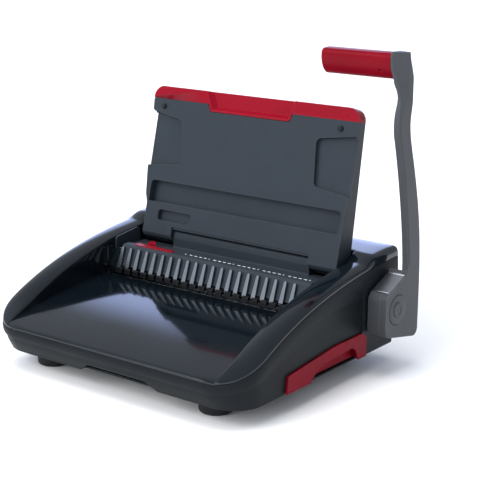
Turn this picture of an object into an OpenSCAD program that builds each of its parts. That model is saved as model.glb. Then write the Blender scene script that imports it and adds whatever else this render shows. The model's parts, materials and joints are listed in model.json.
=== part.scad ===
// Manual comb binding machine: punches a row of slots in loose sheets and opens a plastic comb.
// X runs along the punch row, Y from front to back, Z up. The origin is the centre of the
// footprint, on the table. Modules draw in the machine frame, whose zero is the middle of the
// finger row, and place() moves them to the origin. All lengths are millimetres.

/* [Comb] */
// Pitch of the comb rings, and so of the fingers and punches
ring_pitch = 14.2875; // [14.2875]
// Number of rings along an A4 edge
ring_count = 21; // [21]
// Length of a punched slot
slot_len = 8; // [7:0.5:9]
// Width of a punched slot
slot_wid = 3; // [2.5:0.25:3.5]

/* [Body] */
// Width of the housing
body_w = 406; // [404:1:410]
// Depth of the housing, from front lip to back wall
body_d = 344; // [342:1:346]
// Height of the feet
foot_h = 22; // [20:1:22]
// Radius of the feet
foot_r = 21; // [16:1:24]
// Plan radius of the front corners
corner_front = 50; // [44:1:56]
// Plan radius of the back corners
corner_back = 15; // [10:1:18]
// Wall thickness of the plastic shells
wall = 3; // [2.5:0.25:3]

/* [Lid] */
// Backward lean of the open lid, in degrees
lid_lean = 14; // [13:0.5:15]
// Height of the lid above its hinge pin
lid_h = 200; // [196:1:202]
// Radius of the lid hinge pins
lid_pin_r = 3; // [2.5:0.25:3]

/* [Lever] */
// Radius of the drive shaft
shaft_r = 7; // [6:0.5:7]
// Height of the top of the lever
lever_top = 408; // [404:1:410]
// Length of the hand grip
grip_len = 100; // [90:1:104]
// Radius of the round cap over the hub
hub_cap_r = 19; // [16:1:20]

/* [Punch] */
// Distance that the punches travel
punch_travel = 10; // [9:0.5:10]
// Height of the paper slot
throat = 5; // [4.5:0.25:5]

/* [Drawer] */
// Length of the chip drawer, into the machine
drawer_len = 240; // [200:5:260]

/* [Hidden] */

$fn = 48;
eps = 0.01;
run_gap = 0.05;

charcoal = "#3a3d41";
gloss_black = "#10151b";
lid_grey = "#43484f";
metal_grey = "#55585c";
red = "#b8102c";
steel = "#a9adb3";
dark_steel = "#6a6e73";
rubber = "#1c1d1f";
brass = "#b08d4c";

// ---- housing outline
body_cx = 5;
body_left = body_cx - body_w / 2;
body_right = body_cx + body_w / 2;
front_y = -202;
back_y = front_y + body_d;
skirt_z = foot_h + 1;
well_left = -163;
well_right = 173;
hub_face_x = 238;
cap_face_x = 240;
grip_end = 218;
grip_pos = [95, 390];
grip_core_r = 6;
origin_x = (body_left + cap_face_x) / 2;
origin_y = (front_y + back_y) / 2;

// Rim of the wings and the side crease below it, seen from the side, as [y, z]
rim_line = bezier([front_y, 58], [-157, 70], [-99, 135], [back_y, 144], 20);
crease_line = bezier([front_y, 44], [-115, 62], [-88, 106], [54, 103], 16);
panel_back_y = 54;
panel_low_z = 57;
rim_rise = 2;
skin = 3;

// ---- paper path
deck_z = 86;
die_t = 4;
plate_back_y = 50;
strip_z = deck_z + throat;
strip_t = 4;
pin_y = 5.5;
row_half = ring_pitch * (ring_count - 1) / 2;
tray_line = [[-12.5, deck_z], [-70, 84], [-130, 76], [front_y + 2, 60]];

// ---- lid hinge and lever shaft
trough_back = 87;
pin_pos = [57.7, 136];
lid_face = -9.5;
lid_notch = [-101, 127];
lid_back = 20;
lid_right = 170.5;
shaft_pos = [88, 86];

// ---- ram, rockers and cams
ram_z = 110;
ram_h = 9;
ram_pin_pos = [18, 112.5];
rocker_pos = [50, ram_pin_pos[1] - punch_travel / 2];
rocker_x = 110;
rear_arm = 30;
roller_r = 4.5;
roller_drop = punch_travel / 2;
roller_pos = [rocker_pos[0] + rear_arm, rocker_pos[1] - roller_drop];
roller_end = roller_pos + [0, 2 * roller_drop];
cam_gap = 1;
cam_base = norm(roller_pos - shaft_pos) - roller_r - cam_gap;
cam_lift = norm(roller_end - shaft_pos) - norm(roller_pos - shaft_pos);
cam_start = lean_of(roller_pos - shaft_pos);
cam_swing = 80 + lean_of(roller_end - shaft_pos) - cam_start;
post_x = 155;
post_y = 8;
post_r = 3;

// ---- comb opener
hook_z = 96.3;
hook_t = 1.5;
collar_x = 70;
collar_reach = 19;
collar_pin_r = 2;
hook_travel = collar_reach * sin(25);

// ---- chassis and drawer
chassis_z = 60;
case_screw_spots = [
    [body_left + 16, -128], [body_left + 16, 126], [body_right - 16, -128], [body_right - 16, 126]
];
chassis_t = 2.5;
foot_spots = [[-134, -147], [-134, 104], [134, -147], [134, 104]];
foot_peg_r = 3;
screw_r = 1.9;
frame_l = -172;
frame_r = 180;
frame_t = 4;
drawer_y = [-104, 64];
drawer_z = [26, 46];
drawer_nose = 13;

function bez(a, b, c, d, t) =
    pow(1 - t, 3) * a + 3 * pow(1 - t, 2) * t * b + 3 * (1 - t) * t * t * c + pow(t, 3) * d;
function bezier(a, b, c, d, n) = [for (i = [0:n]) bez(a, b, c, d, i / n)];
function shifted(line, dz) = [for (p = line) [p[0], p[1] + dz]];
function reversed(line) = [for (i = [len(line) - 1:-1:0]) line[i]];
function band(line, low, high) = concat(shifted(line, high), reversed(shifted(line, low)));
function arc(cx, cy, r, from, to, n) =
    [for (i = [0:n]) let (a = from + (to - from) * i / n) [cx + r * cos(a), cy + r * sin(a)]];
function lean_of(v) = atan2(v[0], v[1]);
function ring_x(i) = (i - (ring_count - 1) / 2) * ring_pitch;

// Moves the machine frame to the origin
module place() {
    translate([-origin_x, -origin_y, 0]) children();
}

// Extrudes a side view, given as [y, z] points, from x0 to x1
module side_prism(points, x0, x1) {
    translate([x0, 0, 0]) rotate([90, 0, 90]) linear_extrude(x1 - x0) polygon(points);
}

// A box from its low and high corners
module block(low, high) {
    translate(low) cube(high - low);
}

// A cylinder along X from x0 to x1 at [y, z]
module rod_x(x0, x1, pos, r) {
    translate([x0, pos[0], pos[1]]) rotate([0, 90, 0]) cylinder(h = x1 - x0, r = r);
}

// Footprint of the housing, inset all round, as a block from z0 to z1
module plan_block(inset, z0, z1) {
    x0 = body_left + inset;
    x1 = body_right - inset;
    y0 = front_y + inset;
    y1 = back_y - inset;
    rf = corner_front - inset;
    rb = corner_back - inset;
    front = arc(x1 - rf, y0 + rf, rf, -90, 0, 10);
    back = arc(x1 - rb, y1 - rb, rb, 0, 90, 5);
    back_l = arc(x0 + rb, y1 - rb, rb, 90, 180, 5);
    front_l = arc(x0 + rf, y0 + rf, rf, 180, 270, 10);
    translate([0, 0, z0]) linear_extrude(z1 - z0) polygon(concat(front, back, back_l, front_l));
}

// ---- housing

module lower_housing() {
    band_side = concat(
        crease_line, [[panel_back_y, panel_low_z], [back_y, panel_low_z]],
        reversed(shifted(rim_line, -skin))
    );
    panel_side = concat(
        [[front_y, skirt_z], [back_y - 6, skirt_z], [back_y, 35], [back_y, panel_low_z + 1]],
        [[panel_back_y, panel_low_z + 1]], reversed(shifted(crease_line, 1))
    );
    drawer_cut = [[-108, 20], [-105, 47], [-6, 57], [58, 57], [67, 51], [67, 20]];
    color(charcoal) place() difference() {
        union() {
            intersection() {
                plan_block(0, skirt_z, 160);
                side_prism(band_side, body_left - 1, body_right + 1);
            }
            intersection() {
                plan_block(wall, skirt_z, 160);
                side_prism(panel_side, body_left - 1, body_right + 1);
            }
        }
        difference() {
            plan_block(2 * wall, skirt_z - 1, 161);
            screw_bosses();
        }
        side_prism(drawer_cut, 150, body_right + 1);
        front_arch();
        rod_x(150, body_right + 1, shaft_pos, shaft_r + 4);
    }
}

// Posts that the base plate is screwed to, each joined to the side wall by a rib
module screw_bosses() {
    low = foot_h + 2.5;
    for (p = case_screw_spots) {
        outer = p[0] < 0 ? body_left + 5 : body_right - 5;
        difference() {
            union() {
                translate([p[0], p[1], low]) cylinder(h = 34, r = 5);
                block([min(p[0], outer), p[1] - 1.5, low], [max(p[0], outer), p[1] + 1.5, low + 34]);
            }
            translate([p[0], p[1], low - 1]) cylinder(h = 14, r = screw_r);
        }
    }
}

// Hand gap in the middle of the front skirt
module front_arch() {
    arch = [[-46, skirt_z - 1], [-28, 34.5], [66, 34.5], [82, skirt_z - 1]];
    translate([0, front_y + 30, 0]) rotate([90, 0, 0]) linear_extrude(40) polygon(arch);
}

module top_cover() {
    rim_band = band(rim_line, -skin, rim_rise);
    tray_band = band(tray_line, -skin, 0);
    wall_side = concat(
        shifted(rim_line, rim_rise - eps), [[back_y, 132], [90, 116], [30, 116]],
        [[20, 98], [-12.5, 98], [-12.5, deck_z - skin]],
        [for (p = tray_line) if (p[0] < -13) [p[0], p[1] - skin]]
    );
    deck_side = concat(
        [[84, 142], [84, 147], [112, 149.5], [134, 149]], arc(back_y - 5, 142, 5, 60, 0, 3),
        [[back_y, 141.2], [back_y - 6, 141.4], [112, 145]]
    );
    trough_side = [
        [62, 121], [trough_back, 121], [trough_back, 146], [84, 146], [84, 123.5], [62, 123.5]
    ];
    color(gloss_black) place() intersection() {
        plan_block(0, skirt_z, 160);
        union() {
            side_prism(rim_band, body_left - 1, well_left);
            side_prism(rim_band, well_right, body_right + 1);
            side_prism(tray_band, well_left - skin, well_right + skin);
            difference() {
                union() {
                    side_prism(wall_side, well_left - skin, well_left);
                    side_prism(wall_side, well_right, well_right + skin);
                }
                block([well_left - 10, trough_back, deck_z], [well_right + 10, back_y + 1, 160]);
            }
            side_prism(deck_side, body_left - 1, body_right + 1);
            side_prism(trough_side, well_left - skin, well_right + skin);
        }
    }
}

module punch_deck() {
    outer = [
        [-8, 98.5], [2.5, 124], [5, 126], [16, 126], [17, 120], [53, 118.5], [53, 132],
        [54, 138], [57, 141], [62, 140]
    ];
    inner = [[-5, 98.5], [5, 123.3], [13.6, 123.3], [15, 117.4], [50, 116], [62, 116]];
    cheek = [[4, 117], [5, 133], [48, 139], [52, 134], [52, 117]];
    color(lid_grey) place() {
        difference() {
            union() {
                side_prism(concat(outer, reversed(inner)), -148.4, 163);
                side_prism([[17, 117.3], [17, 120], [53, 118.5], [62, 118.5], [62, 116]], -162, 172);
                side_prism(cheek, -162.5, -160.5);
            }
            for (side = [[-163, lid_notch[0] + 1], [lid_notch[1] - 1, 180]])
                block([side[0], 40, 118.6], [side[1], 70, 150]);
            rod_x(lid_notch[0] - 1, lid_notch[0] + 16, pin_pos, lid_pin_r);
            rod_x(lid_notch[1] - 16, lid_notch[1] + 1, pin_pos, lid_pin_r);
        }
    }
}

module base_plate() {
    color(charcoal) place() difference() {
        plan_block(2 * wall + 0.5, foot_h, foot_h + 2.5);
        for (p = foot_spots) translate([p[0], p[1], foot_h - 1]) cylinder(h = 5, r = foot_peg_r);
        for (p = case_screw_spots) translate([p[0], p[1], foot_h - 1]) cylinder(h = 5, r = screw_r);
        block([-46, front_y - 1, foot_h - 1], [82, front_y + 12, foot_h + 4]);
    }
}

module foot_pads() {
    peg_top = foot_h + 4;
    color(rubber) place() {
        for (p = foot_spots) {
            translate([p[0], p[1], 0]) rotate_extrude() polygon([
                [0, 0], [foot_r - 3, 0], [foot_r - 1, 1], [foot_r, 3], [foot_r + 1, foot_h],
                [foot_peg_r, foot_h], [foot_peg_r, peg_top], [0, peg_top]
            ]);
        }
    }
}

// ---- chassis and punch unit

module chassis_plate() {
    base = foot_h + 2.5;
    top = chassis_z + chassis_t;
    color(dark_steel) place() difference() {
        union() {
            block([frame_l, -118, chassis_z], [frame_r + frame_t, 116, top]);
            block([frame_l, -118, base], [frame_r + frame_t, -118 + chassis_t, chassis_z]);
            block([frame_l, 116 - chassis_t, base], [frame_r + frame_t, 116, chassis_z]);
        }
        block([-row_half - 8, -3, chassis_z - 1], [row_half + 8, 13, top + 1]);
    }
}

// One cheek plate of the punch unit
module side_frame(x0) {
    low = chassis_z + chassis_t;
    outline = [
        [-12, low], [112, low], [112, 104], [104, 112], [62, 118], [44, 115], [30, 98], [-8, 98],
        [-12, 94]
    ];
    color(dark_steel) place() difference() {
        side_prism(outline, x0, x0 + frame_t);
        rod_x(x0 - 1, x0 + frame_t + 1, shaft_pos, shaft_r + 3);
        rod_x(x0 - 1, x0 + frame_t + 1, rocker_pos, 4);
    }
}

module side_frame_left() {
    side_frame(frame_l);
}

module side_frame_right() {
    side_frame(frame_r);
}

// A row of slots for the punches, cut through a plate
module slot_row(z0, z1, gap) {
    for (i = [0:ring_count - 1]) {
        block(
            [ring_x(i) - slot_len / 2 - gap, pin_y - slot_wid / 2 - gap, z0],
            [ring_x(i) + slot_len / 2 + gap, pin_y + slot_wid / 2 + gap, z1]
        );
    }
}

module die_plate() {
    color(steel) place() difference() {
        block([frame_l + frame_t, -12, deck_z - die_t], [frame_r, plate_back_y, deck_z]);
        slot_row(deck_z - die_t - 1, deck_z + 1, 0.1);
    }
}

module stripper_plate() {
    color(dark_steel) place() difference() {
        block([frame_l + frame_t, -10, strip_z], [frame_r, plate_back_y, strip_z + strip_t]);
        slot_row(strip_z - 1, strip_z + strip_t + 1, 0.15);
    }
}

module depth_stop() {
    color(dark_steel) place()
        block([-row_half - 12, pin_y + 3, deck_z], [row_half + 12, 20, strip_z]);
}

// Fixed fingers that hold the comb's spine: one stamped plate with a blade at every ring
module comb_fingers() {
    foot = [-11.5, 94];
    tip = [-0.2, 122.4];
    run = norm(tip - foot);
    lean = atan2(tip[0] - foot[0], tip[1] - foot[1]);
    blade = concat([[-3.2, 0], [3.2, 0], [1.9, run - 2]], arc(0, run - 2, 1.9, 30, 150, 4),
        [[-1.9, run - 2]]);
    color(steel) place() {
        block([-row_half - 6, foot[0] - 0.5, strip_z + strip_t], [row_half + 6, -1, strip_z + strip_t + 1]);
        for (i = [0:ring_count - 1]) {
            translate([ring_x(i), foot[0], foot[1] + 1]) rotate([90 - lean, 0, 0])
                translate([0, 0, -0.4]) linear_extrude(2.2) polygon(blade);
        }
    }
}

module scale_strip() {
    color("#d8dade") place() {
        for (i = [0:25]) {
            x = -46 + i * 8;
            tall = i % 5 == 0 ? 2.2 : 1.1;
            block([x, 13, 126], [x + (i % 5 == 0 ? 1.2 : 4.5), 13 + tall, 126.4]);
        }
    }
}

module chip_chute() {
    low = chassis_z + chassis_t;
    high = deck_z - die_t;
    color(charcoal) place() difference() {
        block([-row_half - 10, -5, low], [row_half + 10, 15, high]);
        block([-row_half - 8, -3, low - 1], [row_half + 8, 13, high + 1]);
    }
}

module guide_posts() {
    color(steel) place() {
        for (x = [-post_x, post_x]) {
            translate([x, post_y, strip_z + strip_t]) cylinder(h = 24.3, r = post_r);
        }
    }
}

module rocker_shaft() {
    color(steel) place() rod_x(frame_l - 2, frame_r + frame_t + 2, rocker_pos, 4);
}

module shaft_bushes() {
    color(brass) place() {
        for (x = [frame_l, frame_r]) {
            difference() {
                union() {
                    rod_x(x, x + frame_t, shaft_pos, shaft_r + 3);
                    rod_x(x + frame_t, x + frame_t + 2, shaft_pos, shaft_r + 5);
                }
                rod_x(x - 1, x + frame_t + 3, shaft_pos, shaft_r + run_gap);
            }
        }
    }
}

module hook_guides() {
    color("#d9d9d2") place() {
        for (x = [-120, 120]) {
            block([x - 12, 32, strip_z + strip_t], [x + 12, 46, strip_z + strip_t + 1.2]);
        }
    }
}

module lid_hinge_pins() {
    color(steel) place() {
        rod_x(-150, lid_notch[0] + 14, pin_pos, lid_pin_r);
        rod_x(lid_notch[1] - 14, 168, pin_pos, lid_pin_r);
    }
}

module case_screws() {
    color(steel) place() {
        for (p = case_screw_spots) {
            translate([p[0], p[1], foot_h - 1.5]) {
                cylinder(h = 1.5, r = 4);
                cylinder(h = 14, r = screw_r);
            }
        }
    }
}

module frame_screws() {
    color(steel) place() {
        for (y = [24, 42]) {
            for (z = [deck_z - 2, strip_z + 2]) {
                rod_x(frame_l - 2.5, frame_l, [y, z], 3.5);
                rod_x(frame_r + frame_t, frame_r + frame_t + 2.5, [y, z], 3.5);
            }
        }
    }
}

// ---- lid, drawn upright about its hinge pin: Y is depth, Z the distance from the pin

module lid_place() {
    place() translate([0, pin_pos[0], pin_pos[1]]) rotate([-lid_lean, 0, 0]) children();
}

// Front view of the lid, as [x, z], inset all round and cut off at top
module lid_outline(inset, top) {
    left = [
        [-152, 0], [-152, 38], [-156, 49], [-160, 86], [-160, 163], [-165, 167],
        [-166, 182]
    ];
    right = [[lid_right, 182], [lid_right, 0]];
    polygon(concat(
        [for (p = left) [p[0] + inset, max(p[1], inset)]], [[-166 + inset, top - inset]],
        [[lid_right - inset, top - inset]], [for (p = right) [p[0] - inset, max(p[1], inset)]]
    ));
}

// The lid's outline as a slab between two depths
module lid_slab(inset, top, y0, y1) {
    translate([0, y1, 0]) rotate([90, 0, 0]) linear_extrude(y1 - y0) lid_outline(inset, top);
}

module lid_recess(points, y0, y1) {
    translate([0, y1, 0]) rotate([90, 0, 0]) linear_extrude(y1 - y0) polygon(points);
}

trim_low = 183;
grip_low = 173;
handle = [[-80, 199], [-64, grip_low], [65.5, grip_low], [73, 199]];
handle_bay = [[-72, trim_low + 1], [-65, 171.8], [66.5, 171.8], [70, trim_low + 1]];
groove = [[-149, 40], [166, 40], [166, 70], [-149, 70]];
small_well = [[-129, 15.5], [-71, 15.5], [-71, 31], [-129, 31]];
left_well = [[-170, 166], [-111, 156.5], [-100, 104], [-103, 95], [-170, 88]];
right_well = [[180, 167], [114, 157], [111, 152], [117, 99], [120, 95], [180, 87]];

module lid_shell() {
    back = [[-7, -1], [-7, trim_low], [5.5, trim_low], [lid_back, 22], [lid_back, 4], [lid_back - 4, 0]];
    hollow = [[-8, 12], [-8, trim_low - 2.5], [3, trim_low - 2.5], [lid_back - 2.5, 22], [lid_back - 2.5, 12]];
    color(lid_grey) lid_place() difference() {
        union() {
            intersection() {
                lid_slab(0, 200, -7, 30);
                side_prism(back, -170, 182);
            }
            rod_x(-152, lid_notch[0], [0, 0], -lid_face);
            rod_x(lid_notch[1], 170, [0, 0], -lid_face);
        }
        intersection() {
            lid_slab(2.5, 200, -8, 30);
            side_prism(hollow, -170, 182);
        }
        lid_recess(handle_bay, -20, -0.5);
        lid_recess([[-170, 162], [-150, 162], [-150, 88], [-170, 88]], -8, lid_face + 6);
        lid_recess([[160, 162], [180, 162], [180, 88], [160, 88]], -8, lid_face + 6);
        block([lid_notch[0], -12, -12], [lid_notch[1], 30, 6.5]);
        rod_x(-160, 180, [0, 0], lid_pin_r + run_gap);
    }
}

// A well in the lid's inner face: a wall follows its outline to the given depth
module well_wall(points, depth) {
    lid_recess(points, lid_face, lid_face + depth);
}

module lid_panel() {
    t = 2.5;
    groove_out = [[-151.5, 37.5], [168.5, 37.5], [168.5, 72.5], [-151.5, 72.5]];
    small_out = [[-131.5, 13], [-68.5, 13], [-68.5, 33.5], [-131.5, 33.5]];
    left_out = [[-170, 169], [-108.5, 159], [-97, 104], [-100, 93], [-170, 85.5]];
    right_out = [[182, 170], [112, 159.5], [108.5, 153], [114.5, 98], [118, 92.5], [182, 84.5]];
    color(lid_grey) lid_place() difference() {
        union() {
            difference() {
                lid_slab(0, trim_low, lid_face, lid_face + t);
                block([-180, -20, -10], [200, 0, 9.6]);
            }
            intersection() {
                lid_slab(2.6, trim_low, lid_face, 10);
                union() {
                    well_wall(groove_out, 12.5);
                    well_wall(small_out, 8.5);
                    well_wall(left_out, 7.5);
                    well_wall(right_out, 7.5);
                }
            }
        }
        translate([0, -1, 0]) well_wall(groove, 11);
        translate([0, -1, 0]) well_wall(small_well, 7);
        translate([0, -1, 0]) well_wall(left_well, 6);
        translate([0, -1, 0]) well_wall(right_well, 6);
        lid_recess(handle_bay, -20, 20);
        block([lid_notch[0], -20, -12], [lid_notch[1], 0, 9.6]);
    }
}

module lid_trim() {
    r = 16;
    bar = concat(
        [[-166, trim_low]], [[lid_right, trim_low]], arc(lid_right - r, lid_h - r, r, 0, 90, 6),
        arc(-166 + r, lid_h - r, r, 90, 180, 6)
    );
    scoop = [[-74, lid_h + 1], [-60.5, grip_low + 3.5], [62, grip_low + 3.5], [69, lid_h + 1]];
    color(red) lid_place() difference() {
        union() {
            lid_recess(bar, lid_face - 0.5, 5.5);
            lid_recess(handle, lid_face - 0.5, -1);
        }
        lid_recess(scoop, lid_face - 2, -3);
    }
}

module lid_bumpers() {
    color(rubber) lid_place() {
        for (x = [-145.5, 145]) {
            translate([x, lid_face, 172.5]) rotate([90, 0, 0]) cylinder(h = 3.5, r1 = 4, r2 = 3.2);
        }
    }
}

module lid_screws() {
    color(steel) lid_place() {
        for (p = [[-137, 79], [154, 79], [-50, 79], [70, 79]]) {
            translate([p[0], lid_face + 2.5, p[1]]) rotate([-90, 0, 0]) cylinder(h = 9, r = 1.6);
        }
    }
}

// ---- lever and drive shaft

hub_low = concat(
    arc(73, 65, 12.5, 180, 257, 4), arc(131, 50, 9.5, 257, 360, 5)
);
hub_facet = [[112, 131], [108, 127], [66, 110], [61.5, 104.5], [60.5, 98]];

module lever_arm() {
    back_low = bezier([140.5, 60], [141, 150], [140, 190], [113, 275], 8);
    back_high = bezier([113, 275], [97, 322], [103, 325], [106, 345], 6);
    crown = [
        [106, 376], [98, lever_top - 11], [95, lever_top - 1.5], [93.5, lever_top],
        [86, lever_top], [84.5, lever_top - 1.5]
    ];
    front_high = bezier([84, 385], [91, 350], [73, 335], [80, 305], 6);
    front_low = bezier([80, 305], [88, 280], [108, 200], [112, 140], 8);
    outline = concat(hub_low, back_low, back_high, crown, front_high, front_low, hub_facet);
    color(metal_grey) place() difference() {
        union() {
            side_prism(outline, hub_face_x - 10, hub_face_x);
            side_prism(arm_head(12.5, 15), grip_end, hub_face_x - 9);
        }
        rod_x(hub_face_x - 2, hub_face_x + 1, shaft_pos, hub_cap_r + 0.8);
        rod_x(hub_face_x - 11, hub_face_x + 1, shaft_pos, shaft_r);
        rod_x(hub_face_x - 40, hub_face_x - 12, grip_pos, grip_core_r);
    }
}

// Rounded section of the arm head that the grip butts against, by half depth and half height
function arm_head(hy, hz) = let (
    r = 12,
    y0 = grip_pos[0] - hy + r,
    y1 = grip_pos[0] + hy - r,
    z0 = grip_pos[1] - hz + r,
    z1 = grip_pos[1] + hz - r
) concat(
    arc(y1, z1, r, 0, 90, 5), arc(y0, z1, r, 90, 180, 5),
    arc(y0, z0, r, 180, 270, 5), arc(y1, z0, r, 270, 360, 5)
);

module lever_hub() {
    outline = concat(
        arc(73, 65, 12.5, 180, 257, 4), [[110, 45.6], [118, 50], [118, 122], [115, 129]], hub_facet
    );
    color(metal_grey) place() difference() {
        side_prism(outline, body_right + 3, hub_face_x - 10);
        rod_x(body_right, hub_face_x, shaft_pos, shaft_r);
    }
}

module hub_cap() {
    color(metal_grey) place() {
        rod_x(hub_face_x - 2, hub_face_x - 0.6, shaft_pos, hub_cap_r);
        rod_x(hub_face_x - 0.6, cap_face_x, shaft_pos, 10);
    }
}

// Section of the grip, a D lying on its curved side
grip_outline = concat(
    bezier([84, 404.5], [88, 406.8], [102, 406.8], [106, 404.5], 6),
    bezier([108.5, 401.5], [110.5, 392], [105, 380], [98.5, 375.5], 8),
    bezier([96.5, 374], [95.5, 373.4], [93.5, 373.4], [92.5, 374], 2),
    bezier([90.5, 375.5], [84, 381], [80, 392], [82, 401.5], 8)
);

module grip() {
    color(red) place() difference() {
        side_prism(grip_outline, grip_end - grip_len, grip_end);
        rod_x(grip_end - grip_len + 10, grip_end + 1, grip_pos, grip_core_r);
    }
}

module grip_core() {
    color(steel) place()
        rod_x(grip_end - grip_len + 12, hub_face_x - 12, grip_pos, grip_core_r);
}

module drive_shaft() {
    color(steel) place() rod_x(frame_l - 8, hub_face_x - 2, shaft_pos, shaft_r);
}

// Cam with a constant radius for the opening stroke and a spiral rise for the punching stroke
function cam_radius(a) =
    a < 0 ? cam_base :
    a < cam_swing + 12 ? cam_base + cam_lift * a / cam_swing :
    cam_base + (cam_lift * (cam_swing + 12) / cam_swing) * max(0, 1 - (a - cam_swing - 12) / 90);

module punch_cams() {
    outline = [for (a = [-100:8:252]) shaft_pos + cam_radius(a) * [sin(a + cam_start), cos(a + cam_start)]];
    color(steel) place() {
        for (x = [-rocker_x, rocker_x]) {
            difference() {
                side_prism(outline, x - 5, x + 5);
                rod_x(x - 6, x + 6, shaft_pos, shaft_r);
            }
        }
    }
}

module shaft_clip() {
    color(dark_steel) place() difference() {
        rod_x(frame_l - 3.5, frame_l - 2, shaft_pos, shaft_r + 4);
        rod_x(frame_l - 4, frame_l - 1, shaft_pos, shaft_r);
    }
}

// ---- comb opener

module opener_collars() {
    color(dark_steel) place() {
        for (x = [-collar_x, collar_x]) {
            difference() {
                union() {
                    rod_x(x - 4, x + 4, shaft_pos, shaft_r + 4);
                    block(
                        [x - 2, shaft_pos[0] - 4, shaft_pos[1] - collar_reach],
                        [x + 2, shaft_pos[0] + 4, shaft_pos[1] - shaft_r - 1]
                    );
                    rod_x(x - 2, x + 2, shaft_pos - [0, collar_reach], 4);
                }
                rod_x(x - 5, x + 5, shaft_pos, shaft_r + run_gap);
            }
        }
    }
}

module collar_pins() {
    color(steel) place() {
        for (x = [-collar_x, collar_x]) {
            rod_x(x + 2, x + 9, shaft_pos - [0, collar_reach], collar_pin_r);
        }
    }
}

module hook_plate() {
    hook = [
        [0, hook_z], [0, hook_z + hook_t], [-14, hook_z + hook_t], [-14, hook_z]
    ];
    claw = [
        [-13.5, hook_z], [-13.5, hook_z + hook_t], [-15, hook_z + hook_t + 0.4],
        [-16.6, hook_z + hook_t - 0.2], [-17.4, hook_z - 0.6], [-17.4, strip_z + 0.4],
        [-15, strip_z + 0.4], [-15, hook_z]
    ];
    pin_z = shaft_pos[1] - collar_reach;
    leg = [
        [48, hook_z], [48, hook_z + hook_t], [78, hook_z + hook_t], [78, 74], [93, 74],
        [93, pin_z - 3.2], [70, pin_z - 3.2], [70, hook_z]
    ];
    color("#141517") place() {
        difference() {
            union() {
                block([-row_half - 4, -1, hook_z], [row_half + 5, plate_back_y, hook_z + hook_t]);
                block([row_half, -1, hook_z], [row_half + 9, 1.5, hook_z + hook_t]);
            }
            for (x = [-rocker_x, rocker_x])
                block([x - 5, 9, hook_z - 1], [x + 5, plate_back_y + 1, hook_z + 3]);
            for (i = [0:ring_count - 1]) {
                block(
                    [ring_x(i) - slot_len / 2 - 0.6, pin_y - 2.2, hook_z - 1],
                    [ring_x(i) + slot_len / 2 + 0.6, pin_y + 2.2 + hook_travel, hook_z + 3]
                );
            }
        }
        for (i = [0:ring_count - 1]) {
            side_prism(hook, ring_x(i) + ring_pitch / 2 - 2.8, ring_x(i) + ring_pitch / 2 + 2.8);
            side_prism(claw, ring_x(i) + 1.2, ring_x(i) + ring_pitch / 2 + 2.8);
        }
        for (x = [-collar_x, collar_x]) {
            difference() {
                side_prism(leg, x + 4.5, x + 7);
                hull() {
                    rod_x(x + 3, x + 8, [shaft_pos[0], pin_z], collar_pin_r + 0.3);
                    rod_x(x + 3, x + 8, [shaft_pos[0], pin_z + 2], collar_pin_r + 0.3);
                }
            }
        }
    }
}

// ---- punch ram

module ram_bar() {
    color(steel) place() difference() {
        union() {
            block([-post_x - 5, 4, ram_z], [post_x + 5, 12.5, ram_z + ram_h]);
            for (x = [-rocker_x, rocker_x]) {
                for (side = [-1, 1]) {
                    block([x + side * 7 - 1.5, 12, ram_z - 1], [x + side * 7 + 1.5, 22, ram_z + 5.8]);
                }
            }
        }
        for (x = [-post_x, post_x]) {
            translate([x, post_y, ram_z - 1]) cylinder(h = ram_h + 2, r = post_r + run_gap);
        }
        for (x = [-rocker_x, rocker_x]) {
            rod_x(x - 9, x + 9, ram_pin_pos, 2.5);
        }
    }
}

module punch_pins() {
    color(steel) place() {
        for (i = [0:ring_count - 1]) {
            block(
                [ring_x(i) - slot_len / 2, pin_y - slot_wid / 2, strip_z + 1],
                [ring_x(i) + slot_len / 2, pin_y + slot_wid / 2, ram_z]
            );
        }
    }
}

module ram_pins() {
    color(dark_steel) place() {
        for (x = [-rocker_x, rocker_x]) {
            rod_x(x - 8.5, x + 8.5, ram_pin_pos, 2.5);
        }
    }
}

// A round-wire compression spring swept along a helix
module spring(r, wire, height, turns) {
    sides = 6;
    rings = turns * 12;
    points = [
        for (i = [0:rings]) let (a = 360 * i / 12, z = wire + (height - 2 * wire) * i / rings)
            for (k = [0:sides - 1]) let (b = 360 * k / sides)
                [(r + wire * cos(b)) * cos(a), (r + wire * cos(b)) * sin(a), z + wire * sin(b)]
    ];
    walls = [
        for (i = [0:rings - 1]) for (k = [0:sides - 1])
            let (a = i * sides + k, b = i * sides + (k + 1) % sides) [a, a + sides, b + sides, b]
    ];
    caps = [[for (k = [0:sides - 1]) k], [for (k = [sides - 1:-1:0]) rings * sides + k]];
    polyhedron(points = points, faces = concat(walls, caps), convexity = 8);
}

module return_springs() {
    low = strip_z + strip_t;
    color(steel) place() {
        for (x = [-post_x, post_x]) {
            translate([x, post_y, low]) spring(4.4, 0.55, ram_z - low, 4);
        }
    }
}

module rocker_arms() {
    color(dark_steel) place() {
        for (x = [-rocker_x, rocker_x]) {
            difference() {
                side_prism([
                    ram_pin_pos + [-3.6, 4.3], ram_pin_pos + [-4.6, 1], ram_pin_pos + [-4.4, -4.4],
                    rocker_pos + [-4, -6.5], rocker_pos + [5, -6.5], roller_pos + [3, -3.4],
                    roller_pos + [4, 2], roller_pos + [0, 4], rocker_pos + [4, 6], rocker_pos + [-4, 6.6]
                ], x - 3, x + 3);
                rod_x(x - 4, x + 4, rocker_pos, 4 + run_gap);
                rod_x(x - 4, x + 4, roller_pos, 2);
                rod_x(x - 4, x + 4, ram_pin_pos, 3.2);
            }
        }
    }
}

module rocker_rollers() {
    color(steel) place() {
        for (x = [-rocker_x, rocker_x]) {
            rod_x(x - 4, x + 4, roller_pos, 2);
            rod_x(x + 3.2, x + 5.2, roller_pos, roller_r);
            rod_x(x - 5.2, x - 3.2, roller_pos, roller_r);
        }
    }
}

// ---- paper edge guide

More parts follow.
